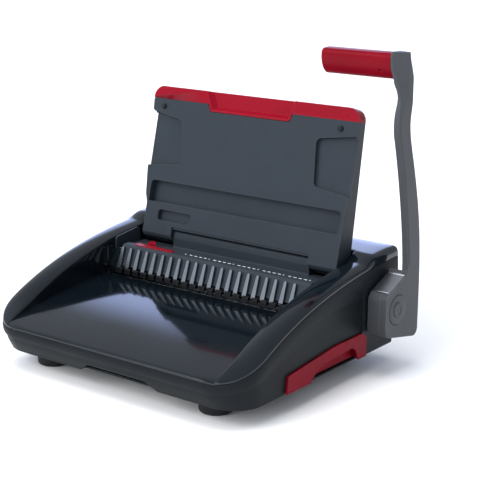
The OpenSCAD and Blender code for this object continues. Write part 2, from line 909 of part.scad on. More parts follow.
module edge_guide() {
    top = 121.3;
    ridge_top = 126;
    riser = [
        [14, ridge_top], [14, ridge_top + 1.2], [16.4, ridge_top + 1.2], [18.1, top], [18.1, 120.05],
        [17.1, 120.05], [16.1, ridge_top]
    ];
    color(red) place() {
        translate([0, 0, 120.05]) linear_extrude(top - 120.05)
            polygon([[-131, 17.2], [-98, 17.2], [-104, 26], [-112, 31], [-126, 42], [-131, 42]]);
        translate([0, 0, ridge_top]) linear_extrude(1.2)
            polygon([[-132, 9], [-122, 6.5], [-66, 6.5], [-64, 9], [-66, 14.5], [-98, 15.5], [-131, 15.5]]);
        side_prism(riser, -131, -98);
    }
}

module guide_tab() {
    tab = [[-126, 30], [-112, 30], [-114, 33], [-122, 40.5], [-126, 40.5]];
    color(red) place() translate([0, 0, 121.3]) linear_extrude(4.6) polygon(tab);
}

// ---- chip drawer

module chip_drawer() {
    x1 = body_right - drawer_nose;
    x0 = x1 - drawer_len;
    top = drawer_z[1];
    color(charcoal) place() difference() {
        block([x0, drawer_y[0], drawer_z[0]], [x1, drawer_y[1], top]);
        block([x0 + 2, drawer_y[0] + 2, drawer_z[0] + 2], [x1 - 2, drawer_y[1] - 2, top + 1]);
    }
}

// Red face with a finger recess behind its lower edge
module drawer_front() {
    x1 = body_right - 0.5;
    x0 = body_right - drawer_nose;
    low = 24.3;
    notch = [[-58, low], [-46, 36], [-34, 41.5], [34, 43.5], [42, 38], [48, low]];
    face = concat([
        [-107, low], [-104.4, 46.4], [-6, 56.4], [57.6, 56.4], [66.3, 50.4], [66.3, low]
    ], reversed(notch));
    pocket = [[-62, 26], [-60, 43.5], [46, 45.5], [52, 44], [52, 26]];
    color(red) place() {
        side_prism(face, x1 - 3, x1);
        difference() {
            side_prism(pocket, x0, x1 - 2.9);
            side_prism([[-60, 25], [-58, 41.6], [44, 43.6], [50, 42], [50, 25]], x0 + 2, x1);
        }
        for (y = [-100, 56]) block([x0, y, 32], [x1 - 2.9, y + 2, 43]);
    }
}

lower_housing();
top_cover();
punch_deck();
base_plate();
foot_pads();
chassis_plate();
side_frame_left();
side_frame_right();
die_plate();
stripper_plate();
depth_stop();
comb_fingers();
scale_strip();
chip_chute();
guide_posts();
rocker_shaft();
shaft_bushes();
hook_guides();
lid_hinge_pins();
case_screws();
frame_screws();
lid_shell();
lid_panel();
lid_trim();
lid_bumpers();
lid_screws();
lever_arm();
lever_hub();
hub_cap();
grip();
grip_core();
drive_shaft();
punch_cams();
shaft_clip();
opener_collars();
collar_pins();
hook_plate();
ram_bar();
punch_pins();
ram_pins();
return_springs();
rocker_arms();
rocker_rollers();
edge_guide();
guide_tab();
chip_drawer();
drawer_front();
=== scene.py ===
import json
import math

import bmesh
import bpy
from mathutils import Matrix, Vector


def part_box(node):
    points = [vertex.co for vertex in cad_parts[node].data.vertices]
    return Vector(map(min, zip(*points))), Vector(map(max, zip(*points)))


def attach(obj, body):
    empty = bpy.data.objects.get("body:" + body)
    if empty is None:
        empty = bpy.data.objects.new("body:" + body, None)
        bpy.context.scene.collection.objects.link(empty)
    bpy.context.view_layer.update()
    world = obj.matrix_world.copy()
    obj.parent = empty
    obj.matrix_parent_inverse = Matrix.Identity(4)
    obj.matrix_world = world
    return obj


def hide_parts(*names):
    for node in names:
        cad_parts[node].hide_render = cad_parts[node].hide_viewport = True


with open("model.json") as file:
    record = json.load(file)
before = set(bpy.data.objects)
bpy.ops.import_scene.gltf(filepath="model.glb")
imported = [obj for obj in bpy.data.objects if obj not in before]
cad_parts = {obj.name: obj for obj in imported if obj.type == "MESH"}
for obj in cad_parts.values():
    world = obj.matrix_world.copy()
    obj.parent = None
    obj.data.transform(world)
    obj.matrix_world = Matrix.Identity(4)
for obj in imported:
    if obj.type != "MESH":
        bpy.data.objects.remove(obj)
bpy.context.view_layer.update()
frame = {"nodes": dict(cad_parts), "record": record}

MM = 0.001

# ---- machine frame: zero is the middle of the finger row, at the finger tips, on the table
fingers_low, fingers_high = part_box("comb_fingers")
house_low, house_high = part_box("lower_housing")
hub_low, hub_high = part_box("hub_cap")
X0 = (fingers_low.x + fingers_high.x) / 2
FRONT = -202.0
Y0 = house_low.y - FRONT * MM
LEFT = (house_low.x - X0) / MM
RIGHT = (house_high.x - X0) / MM
BACK = (house_high.y - Y0) / MM
WING_WIDTH = 35
WELL_LEFT = LEFT + WING_WIDTH
WELL_RIGHT = RIGHT - WING_WIDTH
HUB_IN = (hub_low.x - X0) / MM
HUB_OUT = (hub_high.x - X0) / MM
HUB_CENTRE = (((hub_low.y + hub_high.y) / 2 - Y0) / MM, (hub_low.z + hub_high.z) / 2 / MM)


def at(x, y, z):
    """A point of the machine frame, in millimetres, as metres in the shared frame."""
    return Vector((X0 + x * MM, Y0 + y * MM, z * MM))


# ---------------------------------------------------------------- camera and light

CAMERA_PLACE = (0.9983, -1.2368, 0.5783)
CAMERA_AZIMUTH, CAMERA_ELEVATION, CAMERA_ROLL = 36.8, 15.0, 0.5
CAMERA_LENS = 93.27


def make_camera():
    """A long lens, up and to the right of the front, with a slight roll."""
    azimuth, elevation = math.radians(CAMERA_AZIMUTH), math.radians(CAMERA_ELEVATION)
    roll = math.radians(CAMERA_ROLL)
    view = Vector((
        -math.sin(azimuth) * math.cos(elevation),
        math.cos(azimuth) * math.cos(elevation),
        -math.sin(elevation),
    ))
    right = Vector((math.cos(azimuth), math.sin(azimuth), 0))
    up = right.cross(view)
    side = right * math.cos(roll) + up * math.sin(roll)
    top = up * math.cos(roll) - right * math.sin(roll)
    data = bpy.data.cameras.new("camera")
    data.sensor_width = 36.0
    data.lens = CAMERA_LENS
    camera = bpy.data.objects.new("camera", data)
    turn = Matrix((side, top, -view)).transposed()
    camera.matrix_world = Matrix.Translation(CAMERA_PLACE) @ turn.to_4x4()
    bpy.context.scene.collection.objects.link(camera)
    bpy.context.scene.camera = camera


def area_light(name, place, target, size, power):
    """A soft box at a place, turned to a target."""
    data = bpy.data.lights.new(name, "AREA")
    data.shape = "RECTANGLE"
    data.size, data.size_y = size
    data.energy = power
    light = bpy.data.objects.new(name, data)
    light.location = place
    light.rotation_euler = (Vector(target) - Vector(place)).to_track_quat("-Z", "Y").to_euler()
    bpy.context.scene.collection.objects.link(light)


def soft_sun(name, power, angle, towards):
    """A wide sun that lights the surfaces, and that the gloss ones do not mirror."""
    data = bpy.data.lights.new(name, "SUN")
    data.energy = power
    data.angle = math.radians(angle)
    light = bpy.data.objects.new(name, data)
    light.rotation_euler = Vector(towards).to_track_quat("Z", "Y").to_euler()
    light.visible_glossy = False
    bpy.context.scene.collection.objects.link(light)


# ---- shader helpers; a colour Mix node is reached by socket number, as its names repeat
MIX_FACTOR, MIX_A, MIX_B, MIX_RESULT = 0, 6, 7, 2


def mix_over(tree, factor, base, colour):
    """A plain colour mixed over a base socket by a factor socket."""
    mix = tree.nodes.new("ShaderNodeMix")
    mix.data_type = "RGBA"
    mix.inputs[MIX_B].default_value = (*colour, 1)
    tree.links.new(factor, mix.inputs[MIX_FACTOR])
    tree.links.new(base, mix.inputs[MIX_A])
    return mix.outputs[MIX_RESULT]


def map_range(tree, value, start, end, to_start=0.0, to_end=1.0, smooth=False):
    """A socket's value moved from one range to another, held at both ends."""
    node = tree.nodes.new("ShaderNodeMapRange")
    if smooth:
        node.interpolation_type = "SMOOTHSTEP"
    node.inputs["From Min"].default_value = start
    node.inputs["From Max"].default_value = end
    node.inputs["To Min"].default_value = to_start
    node.inputs["To Max"].default_value = to_end
    tree.links.new(value, node.inputs["Value"])
    return node.outputs["Result"]


def multiply(tree, first, second):
    """The product of two sockets."""
    node = tree.nodes.new("ShaderNodeMath")
    node.operation = "MULTIPLY"
    tree.links.new(first, node.inputs[0])
    tree.links.new(second, node.inputs[1])
    return node.outputs["Value"]


def height_of(tree, vector):
    """The Z part of a vector socket."""
    split = tree.nodes.new("ShaderNodeSeparateXYZ")
    tree.links.new(vector, split.inputs["Vector"])
    return split.outputs["Z"]


def make_world():
    """A room that is bright at the horizon and dim overhead, with a pale blue card behind the machine
    that its gloss surfaces mirror. The camera itself sees plain white."""
    world = bpy.data.worlds.new("studio")
    bpy.context.scene.world = world
    world.use_nodes = True
    tree = world.node_tree
    way = tree.nodes.new("ShaderNodeTexCoord").outputs["Generated"]
    shade = tree.nodes.new("ShaderNodeValToRGB")
    horizon, overhead = shade.color_ramp.elements
    horizon.position = 0.0
    horizon.color = (0.64, 0.68, 0.75, 1)
    overhead.position = 1.0
    overhead.color = (0.36, 0.38, 0.42, 1)
    shade.color_ramp.elements.new(0.42).color = (0.46, 0.49, 0.54, 1)
    tree.links.new(height_of(tree, way), shade.inputs["Fac"])
    card = tree.nodes.new("ShaderNodeVectorMath")
    card.operation = "DOT_PRODUCT"
    card.inputs[1].default_value = Vector((-0.56, 0.79, 0.24)).normalized()
    tree.links.new(way, card.inputs[0])
    glow = map_range(tree, card.outputs["Value"], 0.91, 0.965, smooth=True)
    room = tree.nodes["Background"]
    room.inputs["Strength"].default_value = 1.0
    tree.links.new(mix_over(tree, glow, shade.outputs["Color"], (1.5, 1.8, 2.9)), room.inputs["Color"])
    backdrop = tree.nodes.new("ShaderNodeBackground")
    backdrop.inputs["Color"].default_value = (1, 1, 1, 1)
    backdrop.inputs["Strength"].default_value = 1.0
    rays = tree.nodes.new("ShaderNodeLightPath")
    choose = tree.nodes.new("ShaderNodeMixShader")
    tree.links.new(rays.outputs["Is Camera Ray"], choose.inputs["Fac"])
    tree.links.new(room.outputs["Background"], choose.inputs[1])
    tree.links.new(backdrop.outputs["Background"], choose.inputs[2])
    tree.links.new(choose.outputs["Shader"], tree.nodes["World Output"].inputs["Surface"])


def make_light():
    """The room, two soft boxes and two wide suns."""
    make_world()
    area_light("key", (-1.1, -1.6, 1.9), (0, 0, 0.1), (1.5, 1.1), 14)
    area_light("side", (1.9, -0.5, 1.1), (0.2, 0, 0.2), (1.2, 1.2), 3)
    soft_sun("ceiling", 1.9, 34, (-0.08, -0.12, 0.99))
    soft_sun("front_fill", 2.6, 50, (-0.25, -0.80, 0.50))
    bpy.context.scene.view_settings.view_transform = "Standard"


def make_floor():
    """A plain pale floor, wide enough to fill the view."""
    mesh = bpy.data.meshes.new("floor")
    build = bmesh.new()
    bmesh.ops.create_grid(build, x_segments=2, y_segments=2, size=14)
    build.to_mesh(mesh)
    build.free()
    floor = bpy.data.objects.new("floor", mesh)
    bpy.context.scene.collection.objects.link(floor)
    material = bpy.data.materials.new("floor_paper")
    material.use_nodes = True
    shader = material.node_tree.nodes["Principled BSDF"]
    shader.inputs["Base Color"].default_value = (0.93, 0.935, 0.94, 1)
    shader.inputs["Roughness"].default_value = 0.85
    mesh.materials.append(material)


# ---------------------------------------------------------------- materials

def noise(tree, scale, detail, stretch=None):
    """Noise in the piece's own place, pulled out along an axis for a brushed finish."""
    place = tree.nodes.new("ShaderNodeTexCoord").outputs["Object"]
    if stretch:
        mapping = tree.nodes.new("ShaderNodeMapping")
        mapping.inputs["Scale"].default_value = stretch
        tree.links.new(place, mapping.inputs["Vector"])
        place = mapping.outputs["Vector"]
    texture = tree.nodes.new("ShaderNodeTexNoise")
    texture.inputs["Scale"].default_value = scale
    texture.inputs["Detail"].default_value = detail
    tree.links.new(place, texture.inputs["Vector"])
    return texture.outputs["Fac"]


def worn_edges(tree, base, amount, colour):
    """A lighter colour where the surface turns sharply, broken up by noise."""
    bevel = tree.nodes.new("ShaderNodeBevel")
    bevel.samples = 4
    bevel.inputs["Radius"].default_value = 1.1 * MM
    geometry = tree.nodes.new("ShaderNodeNewGeometry")
    turn = tree.nodes.new("ShaderNodeVectorMath")
    turn.operation = "DOT_PRODUCT"
    tree.links.new(bevel.outputs["Normal"], turn.inputs[0])
    tree.links.new(geometry.outputs["Normal"], turn.inputs[1])
    mask = map_range(tree, turn.outputs["Value"], 0.995, 0.86, 0.0, amount)
    return mix_over(tree, multiply(tree, mask, noise(tree, 140, 3)), base, colour)


def settled_dust(tree, base, amount):
    """Fine grey specks on what faces up."""
    geometry = tree.nodes.new("ShaderNodeNewGeometry")
    level = map_range(tree, height_of(tree, geometry.outputs["Normal"]), 0.4, 1.0, 0.0, amount)
    return mix_over(tree, multiply(tree, level, noise(tree, 300, 5)), base, (0.55, 0.56, 0.58))


def finish_material(
    name, colour, rough, grain=0.0, grain_size=0.9, vary=0.06, rough_vary=0.05, metal=0.0,
    coat=0.0, coat_rough=0.05, edge=0.0, edge_colour=(0.4, 0.4, 0.4), brushed=None, specular=0.5,
    dust=0.0,
):
    """A moulded, painted or metal finish. Coarse noise varies its colour and its roughness, and fine
    noise of grain_size millimetres gives its grain."""
    material = bpy.data.materials.new(name)
    material.use_nodes = True
    tree = material.node_tree
    shader = tree.nodes["Principled BSDF"]
    shader.inputs["Metallic"].default_value = metal
    shader.inputs["Specular IOR Level"].default_value = specular
    shader.inputs["Coat Weight"].default_value = coat
    shader.inputs["Coat Roughness"].default_value = coat_rough
    tint = tree.nodes.new("ShaderNodeVectorMath")
    tint.operation = "SCALE"
    tint.inputs[0].default_value = colour
    spread = map_range(tree, noise(tree, 26, 3), 0.3, 0.7, 1 - vary, 1 + vary)
    tree.links.new(spread, tint.inputs["Scale"])
    base = tint.outputs["Vector"]
    if edge > 0:
        base = worn_edges(tree, base, edge, edge_colour)
    if dust > 0:
        base = settled_dust(tree, base, dust)
    tree.links.new(base, shader.inputs["Base Color"])
    polish = map_range(tree, noise(tree, 9, 4), 0.3, 0.7, max(0.02, rough - rough_vary), rough + rough_vary)
    tree.links.new(polish, shader.inputs["Roughness"])
    if grain > 0:
        bump = tree.nodes.new("ShaderNodeBump")
        bump.inputs["Strength"].default_value = grain
        bump.inputs["Distance"].default_value = 0.06 * MM
        tree.links.new(noise(tree, 1 / (grain_size * MM), 2, brushed), bump.inputs["Height"])
        tree.links.new(bump.outputs["Normal"], shader.inputs["Normal"])
    return material


FINISHES = {
    "charcoal_plastic": dict(
        colour=(0.0080, 0.0105, 0.0128), rough=0.46, grain=0.55, vary=0.08, specular=0.12,
        edge=0.5, edge_colour=(0.07, 0.08, 0.09), dust=0.02),
    "gloss_black": dict(
        colour=(0.0030, 0.0056, 0.0085), rough=0.11, grain=0.05, grain_size=4, vary=0.05, rough_vary=0.035,
        coat=0.3, coat_rough=0.03, specular=0.45, edge=0.35, edge_colour=(0.09, 0.10, 0.12)),
    "lid_grey": dict(
        colour=(0.0225, 0.0290, 0.0370), rough=0.42, grain=0.5, vary=0.06, specular=0.2,
        edge=0.55, edge_colour=(0.14, 0.15, 0.165), dust=0.02),
    "red_plastic": dict(
        colour=(0.205, 0.002, 0.011), rough=0.30, grain=0.25, vary=0.05, specular=0.14,
        edge=0.4, edge_colour=(0.75, 0.12, 0.14)),
    "red_grip": dict(
        colour=(0.170, 0.0015, 0.008), rough=0.36, grain=0.35, vary=0.06, specular=0.10,
        edge=0.3, edge_colour=(0.5, 0.08, 0.10)),
    "red_drawer": dict(
        colour=(0.18, 0.002, 0.011), rough=0.42, grain=0.5, vary=0.07, specular=0.08,
        edge=0.35, edge_colour=(0.6, 0.09, 0.11)),
    "lever_metal": dict(
        colour=(0.058, 0.062, 0.068), rough=0.36, grain=0.7, grain_size=0.4, vary=0.05, metal=0.05,
        coat=0.05, coat_rough=0.2, specular=0.10, edge=0.5, edge_colour=(0.5, 0.5, 0.52)),
    "finger_steel": dict(
        colour=(0.36, 0.39, 0.43), rough=0.30, grain=0.4, grain_size=0.6, metal=1.0,
        edge=0.4, edge_colour=(0.8, 0.8, 0.82), brushed=(1, 1, 0.12)),
    "tool_steel": dict(
        colour=(0.42, 0.43, 0.45), rough=0.26, grain=0.4, grain_size=0.5, metal=1.0, brushed=(0.1, 1, 1)),
    "plated_steel": dict(
        colour=(0.56, 0.57, 0.60), rough=0.34, grain=0.4, grain_size=1.2, vary=0.12, metal=1.0),
    "black_steel": dict(
        colour=(0.006, 0.007, 0.008), rough=0.30, grain=0.3, metal=0.3, specular=0.25,
        edge=0.5, edge_colour=(0.12, 0.12, 0.13)),
    "rubber": dict(
        colour=(0.014, 0.015, 0.017), rough=0.62, grain=0.8, grain_size=0.7, vary=0.1, specular=0.2,
        dust=0.05),
    "brass": dict(colour=(0.62, 0.42, 0.17), rough=0.28, grain=0.3, metal=1.0, brushed=(0.1, 1, 1)),
    "natural_nylon": dict(colour=(0.68, 0.66, 0.60), rough=0.45, grain=0.3),
    "print_white": dict(colour=(0.62, 0.64, 0.68), rough=0.5, grain=0.2, vary=0.12),
}
MATERIALS = {name: finish_material(name, **finish) for name, finish in FINISHES.items()}


# ---------------------------------------------------------------- outlines and curves

def curve(p0, p1, p2, p3, steps):
    """Points along a cubic Bezier curve."""
    points = []
    for i in range(steps + 1):
        t = i / steps
        a, b, c, d = (1 - t) ** 3, 3 * (1 - t) ** 2 * t, 3 * (1 - t) * t * t, t ** 3
        points.append(tuple(a * p0[k] + b * p1[k] + c * p2[k] + d * p3[k] for k in (0, 1)))
    return points


def along(points, value):
    """The second coordinate of a polyline at a value of the first, held at both ends."""
    if value <= points[0][0]:
        return points[0][1]
    for (a, za), (b, zb) in zip(points, points[1:]):
        if value <= b:
            return za + (zb - za) * (value - a) / (b - a)
    return points[-1][1]


def smooth_step(low, high, value):
    """0 below the low value and 1 above the high one, with an S between them."""
    t = min(1, max(0, (value - low) / (high - low)))
    return t * t * (3 - 2 * t)

def arc(u, v, radius, start, end, steps):
    """Points round a centre, from one angle in degrees to another, both ends included."""
    angles = [math.radians(start + (end - start) * i / steps) for i in range(steps + 1)]
    return [(u + radius * math.cos(a), v + radius * math.sin(a)) for a in angles]


def circle(u, v, radius, steps=40):
    """Points round a whole circle."""
    return arc(u, v, radius, 0, 360, steps)[:-1]


def rounded(points, radius, steps=5):
    """A polygon with its corners rounded, by one radius or by one for each corner."""
    out = []
    n = len(points)
    for i in range(n):
        p = Vector(points[i])
        a, b = Vector(points[i - 1]) - p, Vector(points[(i + 1) % n]) - p
        r = radius[i] if isinstance(radius, (list, tuple)) else radius
        if r <= 0:
            out.append(tuple(p))
            continue
        half = a.angle(b) / 2
        back = min(r / math.tan(half), 0.49 * a.length, 0.49 * b.length)
        start, end = p + a.normalized() * back, p + b.normalized() * back
        for k in range(steps + 1):
            t = k / steps
            out.append(tuple(start * (1 - t) ** 2 + p * 2 * t * (1 - t) + end * t * t))
    return out


# ---------------------------------------------------------------- mesh helpers

def new_object(name, points, faces, merge=False):
    """An object from machine points, its faces turned outwards; merge joins points that coincide."""
    mesh = bpy.data.meshes.new(name)
    mesh.from_pydata([tuple(at(*p)) for p in points], [], faces)
    build = bmesh.new()
    build.from_mesh(mesh)
    if merge:
        bmesh.ops.remove_doubles(build, verts=build.verts, dist=1e-6)
    bmesh.ops.recalc_face_normals(build, faces=build.faces)
    build.to_mesh(mesh)
    build.free()
    thing = bpy.data.objects.new(name, mesh)
    bpy.context.scene.collection.objects.link(thing)
    return thing


def new_piece(name, points, faces):
    """A piece with one shared point wherever faces meet."""
    return new_object(name, points, faces, merge=True)


def cut(piece, points, faces, operation="DIFFERENCE"):
    """Cuts a closed solid of machine points out of a piece's own mesh."""
    tool = new_object("cutter", points, faces)
    modifier = piece.modifiers.new("cut", "BOOLEAN")
    modifier.operation = operation
    modifier.solver = "EXACT"
    modifier.object = tool
    bpy.context.view_layer.update()
    graph = bpy.context.evaluated_depsgraph_get()
    result = bpy.data.meshes.new_from_object(piece.evaluated_get(graph))
    piece.modifiers.remove(modifier)
    piece.data = result
    bpy.data.objects.remove(tool)


def join(piece, points, faces):
    """Joins a closed solid of machine points onto a piece's own mesh."""
    cut(piece, points, faces, operation="UNION")


def ring_faces(n, first=0):
    """The side faces between two rings of n points that follow each other."""
    return [(first + i, first + (i + 1) % n, first + n + (i + 1) % n, first + n + i) for i in range(n)]


def solid_faces(n):
    """The faces of a solid between two rings of n points: both ends and the sides."""
    return [tuple(range(n)), tuple(range(2 * n - 1, n - 1, -1))] + ring_faces(n)


def grid_faces(rows, columns, first=0):
    """The faces between rows of points that follow each other."""
    return [
        (first + r * columns + c, first + r * columns + c + 1,
         first + (r + 1) * columns + c + 1, first + (r + 1) * columns + c)
        for r in range(rows - 1) for c in range(columns - 1)
    ]


def prism(outline, low, high, axis):
    """A prism along an axis, of an outline in the two other coordinates, in the order X, Y, Z."""
    place = {
        "x": lambda p, s: (s, p[0], p[1]),
        "y": lambda p, s: (p[0], s, p[1]),
        "z": lambda p, s: (p[0], p[1], s),
    }[axis]
    return [place(p, s) for s in (low, high) for p in outline], solid_faces(len(outline))


def smooth_faces(piece, sharp):
    """Smooth shading, broken where two faces meet at more than the sharp angle."""
    for face in piece.data.polygons:
        face.use_smooth = True
    piece.data.set_sharp_from_angle(angle=math.radians(sharp))


def soften(piece, width, segments=3, angle=32):
    """Rounds a piece's edges by so many millimetres, with modifiers, so its own mesh stays as it is."""
    modifier = piece.modifiers.new("bevel", "BEVEL")
    modifier.width = width * MM
    modifier.segments = segments
    modifier.limit_method = "ANGLE"
    modifier.angle_limit = math.radians(angle)
    modifier = piece.modifiers.new("normals", "WEIGHTED_NORMAL")
    modifier.weight = 90


REPLACED = set()


def enter(piece, body, slot, node=None):
    """Gives a finished piece the material of its slot and its body, and hides the CAD node that it replaces.
    """
    piece.data.materials.clear()
    piece.data.materials.append(MATERIALS[slot])
    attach(piece, body)
    if node:
        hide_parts(node)
        REPLACED.add(node)


# Rounding of the CAD pieces' edges, in millimetres
BEVELS = {
    "charcoal_plastic": 0.8, "gloss_black": 0.9, "lid_grey": 0.9, "red_plastic": 0.7,
    "red_grip": 1.4, "red_drawer": 0.7, "lever_metal": 1.0, "finger_steel": 0.35, "tool_steel": 0.3,
    "plated_steel": 0.3, "black_steel": 0.3, "rubber": 0.8, "brass": 0.3, "natural_nylon": 0.3,
    "print_white": 0.0,
}
ROUND_WIRE = ("return_springs",)


def dress_cad_nodes():
    """Materials for the CAD nodes, and softened edges for those that stay in sight."""
    slots = {s["node"]: s["material_slot"] for s in frame["record"]["subparts"]}
    for name, piece in frame["nodes"].items():
        slot = slots[name]
        piece.data.materials.clear()
        piece.data.materials.append(MATERIALS[slot])
        if name in REPLACED or name in ROUND_WIRE or BEVELS[slot] == 0:
            continue
        weld = piece.modifiers.new("weld", "WELD")
        weld.merge_threshold = 2e-6
        planar = piece.modifiers.new("planar", "DECIMATE")
        planar.decimate_type = "DISSOLVE"
        planar.angle_limit = math.radians(1.0)
        soften(piece, BEVELS[slot])


# ---------------------------------------------------------------- housing and cover

CORNER_FRONT, CORNER_BACK = 50.0, 8.0
TRAY_BACK, TRAY_TOP = -12.5, 86
DECK_EDGE = 84.0
TROUGH_FRONT, TROUGH_Z = 62.0, 123.5
PANEL_BACK, PANEL_LOW = 54.0, 57.0
SKIRT = 23.0
# The cover's edge drops over the housing's rim, and is then tucked in under it
RIM_DROP, TUCK_DOWN, TUCK_IN = 1.3, 1.5, 2.4
RIM = curve((FRONT, 58), (-157, 70), (-99, 135), (BACK, 144), 80)
CREASE = curve((FRONT, 44), (-115, 62), (-88, 106), (PANEL_BACK, 103), 60)
TRAY = curve((FRONT, 59.4), (-150, 73), (-80, TRAY_TOP), (TRAY_BACK, TRAY_TOP), 60)


def outline_left(y):
    """X of the housing's left outline at a depth y; the right one is its mirror image."""
    if y < FRONT + CORNER_FRONT:
        r, c = CORNER_FRONT, FRONT + CORNER_FRONT
    elif y > BACK - CORNER_BACK:
        r, c = CORNER_BACK, BACK - CORNER_BACK
    else:
        return LEFT
    return LEFT + r - math.sqrt(max(0, r * r - (y - c) ** 2))


def inset(x, y):
    """Distance of a point inside the plan outline from that outline."""
    x = min(x, LEFT + RIGHT - x)
    for r, c, outside in (
        (CORNER_FRONT, FRONT + CORNER_FRONT, y < FRONT + CORNER_FRONT),
        (CORNER_BACK, BACK - CORNER_BACK, y > BACK - CORNER_BACK),
    ):
        if outside and x < LEFT + r:
            return r - math.hypot(x - LEFT - r, y - c)
    return min(x - LEFT, y - FRONT, BACK - y)


# [distance, height] pairs: the rise of the wings, the rear deck and the tray's lip by the distance in
# from the outline, and the fall of the well's rounded edge by the distance from the well
WING = [(0, -0.3), (0.25, 0.35), (0.6, 0.9), (1.3, 1.7), (2.5, 2.6), (4.5, 3.7), (7, 4.7), (10, 5.5),
        (14, 6.0), (20, 6.0), (26, 5.2), (30, 4.0), (35, 3.0)]
DECK = [(0, -0.3), (0.25, 2.4), (0.6, 4.4), (1.3, 6.4), (2.5, 8.2), (4.5, 9.8), (7, 10.8), (10, 11.3),
        (14, 11.7), (20, 12.0), (30, 12.2), (50, 12.4), (80, 12.4)]
LIP = [(0, -1.7), (0.25, -1.05), (0.6, -0.6), (1.3, -0.1), (2.5, 0.5), (4.5, 1.5), (8, 3.1), (12, 40)]
EDGE = [(0, 2.6), (0.2, 1.7), (0.5, 1.15), (1, 0.7), (1.8, 0.3), (3, 0.08), (5, 0)]


# Height of the wing over the tray from which the well's edge is rounded in full
EDGE_FULL = 7


def tray_z(x, y):
    """Top of the paper tray, which rolls down into the cover's front lip."""
    return min(along(TRAY, y), TRAY[0][1] + along(LIP, inset(x, y)))


def cover_z(x, y):
    """Top of the wings and the rear deck: the rim's line, a rise inwards that is lower at the front, and
    the rounded edge over the well."""
    depth = inset(x, y)
    rise = along(WING, depth)
    rise += (along(DECK, depth) - rise) * smooth_step(60, 88, y)
    if depth > 0:
        rise *= 0.35 + 0.65 * smooth_step(FRONT, FRONT + 70, y)
    away = math.hypot(max(0, WELL_LEFT - x, x - WELL_RIGHT), max(0, y - DECK_EDGE))
    top = along(RIM, y) + rise
    height = top - tray_z(min(max(x, WELL_LEFT), WELL_RIGHT), min(y, TRAY_BACK))
    return top - along(EDGE, away) * min(1, max(0, height) / EDGE_FULL)


def corner_stations():
    """Depths along the front corner, closer together where the outline turns fastest."""
    angles = (0, 3, 6, 9, 13, 17, 21, 25, 30, 36, 42, 48, 54, 60, 66, 72, 79, 90)
    return [FRONT + CORNER_FRONT * (1 - math.cos(math.radians(a))) for a in angles]


WING_COLUMNS = (0, 0.25, 0.6, 1.3, 2.5, 4.5, 7, 10, 14, 18, 22, 26, 29.5, 32, 33.2, 34, 34.5, 34.8,
                WING_WIDTH)


def wing_points(y, side):
    """Top of one wing at a depth, from the outer edge to the edge over the paper well."""
    outer = outline_left(y)
    width = max(0, WELL_LEFT - outer)
    points = []
    for d in WING_COLUMNS:
        x = min(outer, WELL_LEFT) + d * width / WING_WIDTH if width else outer
        z = cover_z(x, y) if width else tray_z(outer, y)
        points.append((x if side < 0 else LEFT + RIGHT - x, y, z))
    return points


def well_floor(y):
    """Bottom of the wall beside the well: the tray, then the punch unit's plates and the trough."""
    steps = [(TRAY_BACK, 98), (20, 98), (30, 116), (TROUGH_FRONT - 0.1, 116), (TROUGH_FRONT, TROUGH_Z)]
    return along(steps, y)


def tucked(row):
    """A row that starts at the outer edge, with that edge turned down and in over the housing's rim."""
    x, y, z = row[0]
    middle = Vector(((LEFT + RIGHT) / 2, (FRONT + BACK) / 2))
    way = (middle - Vector((x, y))).normalized()
    return [(x + way.x * TUCK_IN, y + way.y * TUCK_IN, z - TUCK_DOWN), (x, y, z - RIM_DROP)] + row


def front_grids():
    """The paper tray between its two wings, with a sill in front and a short step down at the back."""
    rows = []
    for y in corner_stations() + [FRONT + CORNER_FRONT + 6.5 * i for i in range(1, 21)] + [TRAY_BACK]:
        left, right = wing_points(y, -1), wing_points(y, 1)
        (x0, _, top0), (x1, _, top1) = left[-1], right[-1]
        low0, low1 = tray_z(x0, y), tray_z(x1, y)
        down = [(x0, y, top0 + (low0 - top0) * k / 4) for k in (1, 2, 3, 4)]
        across = [x0 + (x1 - x0) * k / 24 for k in range(1, 24)]
        up = [(x1, y, low1 + (top1 - low1) * k / 4) for k in (0, 1, 2, 3)]
        rows.append(tucked(left) + down + [(x, y, tray_z(x, y)) for x in across] + up + tucked(right)[::-1])
    sill = [
        [(x, y + TUCK_IN, z - TUCK_DOWN) for x, y, z in rows[0]],
        [(x, y, z - RIM_DROP) for x, y, z in rows[0]],
    ]
    back = [p for p in rows[-1] if abs(p[2] - TRAY_TOP) < 0.3]
    return [sill + rows, [back, [(x, y, z - 3) for x, y, z in back]]]


def wing_grid(side):
    """One wing beside the punch unit, with its wall down to the plates and the trough."""
    depths = [TRAY_BACK + (DECK_EDGE - TRAY_BACK) * i / 16 for i in range(17)]
    rows = []
    for y in sorted(depths + [TROUGH_FRONT - 0.1, TROUGH_FRONT]):
        top = wing_points(y, side)
        x, _, z = top[-1]
        low = well_floor(y)
        rows.append(tucked(top) + [(x, y, z + (low - z) * k / 4) for k in (1, 2, 3, 4)])
    return rows


